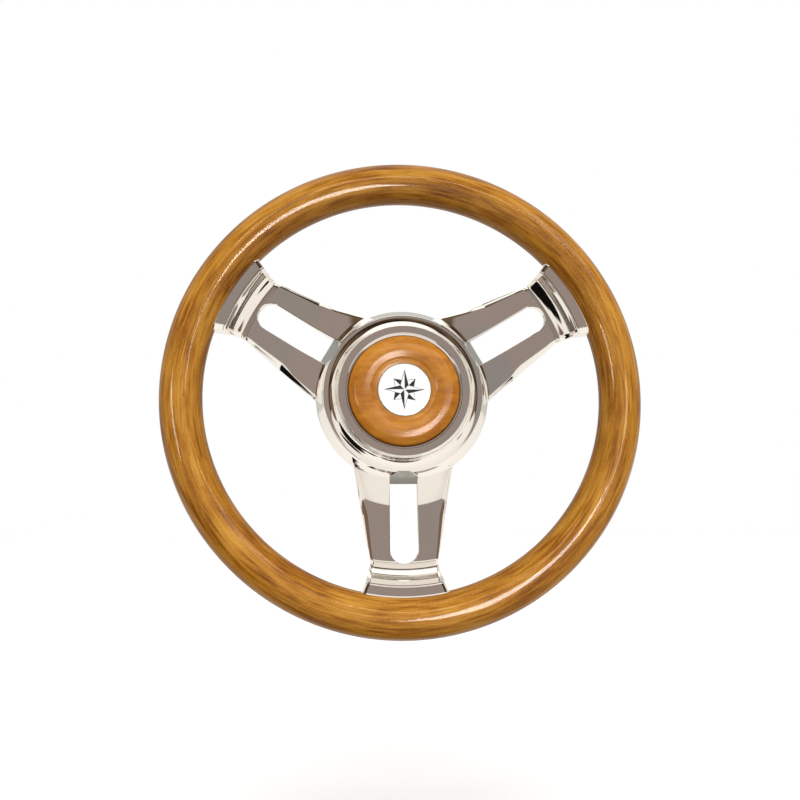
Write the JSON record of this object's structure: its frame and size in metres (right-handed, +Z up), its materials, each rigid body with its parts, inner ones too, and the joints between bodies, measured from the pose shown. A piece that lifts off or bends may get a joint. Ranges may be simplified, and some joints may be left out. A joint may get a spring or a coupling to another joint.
{
  "type": "ship steering wheel",
  "caption": "Dished boat steering wheel with a round wooden rim, slotted polished spokes, a bell-shaped hub and a pull-off turned wooden cap with a compass emblem.",
  "frame": {"origin": "on the helm axis, at the centre of the boss's rear face, where the tapered bore is widest", "axes": "+Z up with one spoke pointing down, +Y along the helm axis towards the helm, -Y towards the person steering, +X to that person's right"},
  "size_m": [0.35, 0.063, 0.35],
  "materials": {
    "lacquered_wood": "honey-amber hardwood with long fine grain under gloss marine lacquer",
    "cap_wood": "turned orange-amber hardwood under gloss lacquer",
    "polished_steel": "mirror-polished stainless steel with a faint warm tint",
    "plated_steel": "zinc-plated steel",
    "stainless_screw": "stainless steel screw heads",
    "boss_alloy": "turned aluminium alloy with fine lathe marks",
    "black_plastic": "satin black moulded plastic",
    "black_rubber": "matt black rubber",
    "white_enamel": "gloss white enamel",
    "black_enamel": "gloss black enamel"
  },
  "bodies": {
    "wheel": {"rim_front": "lacquered_wood", "rim_back": "lacquered_wood", "rim_core": "plated_steel", "rim_studs": "plated_steel", "spoke_lower": "polished_steel", "spoke_right": "polished_steel", "spoke_left": "polished_steel", "hub_bell": "polished_steel", "hub_plate": "plated_steel", "boss": "boss_alloy", "spoke_screws": "plated_steel", "boss_screws": "plated_steel", "bell_screws": "plated_steel", "back_cover": "black_plastic", "cover_gasket": "black_rubber", "cover_screws": "stainless_screw", "bezel_ring": "polished_steel", "bezel_screws": "plated_steel"},
    "centre_cap": {"wood_cap": "cap_wood", "cap_carrier": "black_plastic", "cap_screws": "plated_steel", "cap_o_ring": "black_rubber", "emblem_disc": "white_enamel", "emblem_ring": "polished_steel", "compass_star": "black_enamel"}
  },
  "joints": [
    {"name": "cap_pull", "type": "slide", "parent": "wheel", "child": "centre_cap", "axis": [0, -1, 0], "range_m": [0, 0.03]}
  ]
}
